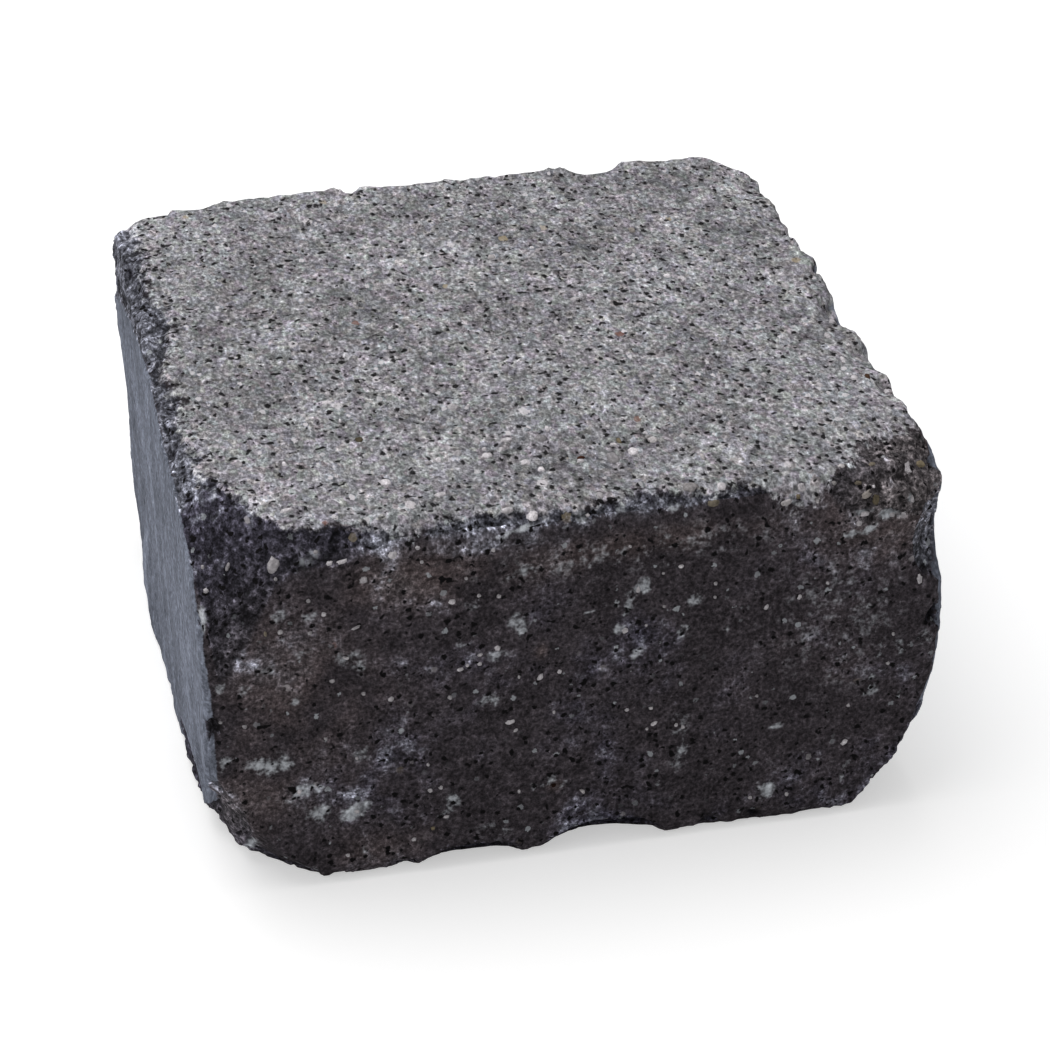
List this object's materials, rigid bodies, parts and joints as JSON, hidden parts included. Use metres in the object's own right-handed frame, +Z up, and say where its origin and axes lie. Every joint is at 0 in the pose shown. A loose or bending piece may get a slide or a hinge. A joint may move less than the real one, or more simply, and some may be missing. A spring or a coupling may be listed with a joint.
{
  "type": "concrete wall block",
  "caption": "Solid tumbled concrete wall block with worn arrises, knocked corners, flat top and flat bed for dry stacking.",
  "frame": {"origin": "middle of the bed face, which lies on the ground", "axes": "+X along the width to the right, +Y from the front to the back, +Z up from the bed to the top"},
  "size_m": [0.21, 0.21, 0.115],
  "materials": {
    "concrete": "rough tumbled anthracite concrete"
  },
  "bodies": {
    "root": {"block": "concrete"}
  },
  "joints": []
}
